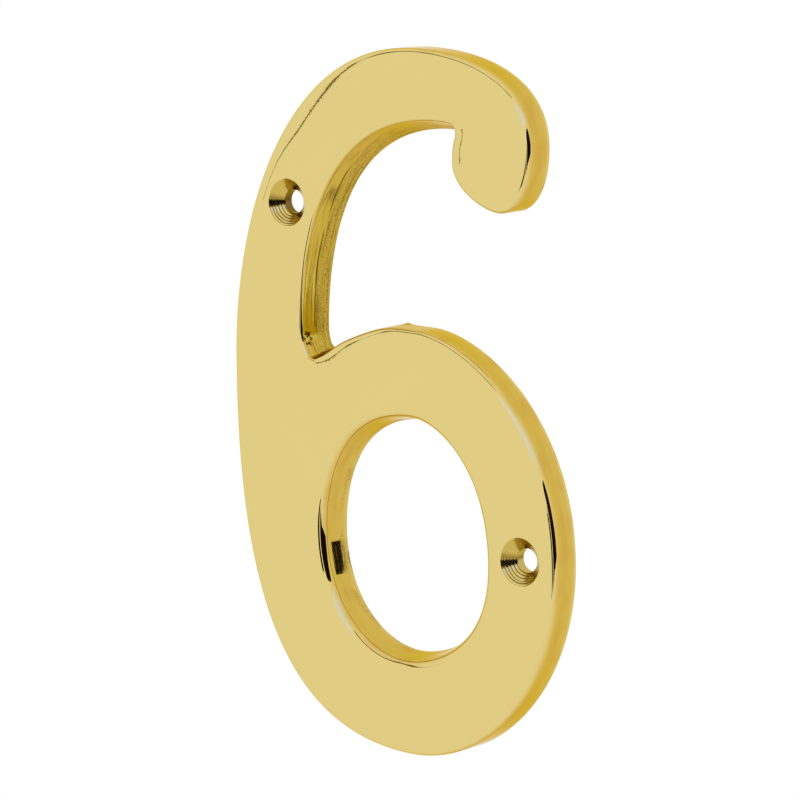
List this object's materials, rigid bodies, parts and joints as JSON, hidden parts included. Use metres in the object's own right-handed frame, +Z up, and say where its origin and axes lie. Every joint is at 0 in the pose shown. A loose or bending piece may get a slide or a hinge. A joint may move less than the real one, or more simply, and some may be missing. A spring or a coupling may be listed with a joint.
{
  "type": "door number",
  "caption": "Cast brass numeral six for a door, with a flat polished face, rounded edges, a hollow back and countersunk screw holes.",
  "frame": {"origin": "midway between the two screw holes, on the back of the metal that they go through, 1.2 mm in front of the door", "axes": "+Z up as the numeral is read, +X to the reader's right, +Y into the door, so the polished face looks along -Y. The door is at Y = +1.2 mm"},
  "size_m": [0.0607, 0.0045, 0.1021],
  "materials": {
    "polished_brass": "polished and lacquered cast brass, rough as cast on the rear half of the inner walls and in the hollow back"
  },
  "bodies": {
    "root": {"numeral_six": "polished_brass"}
  },
  "joints": []
}
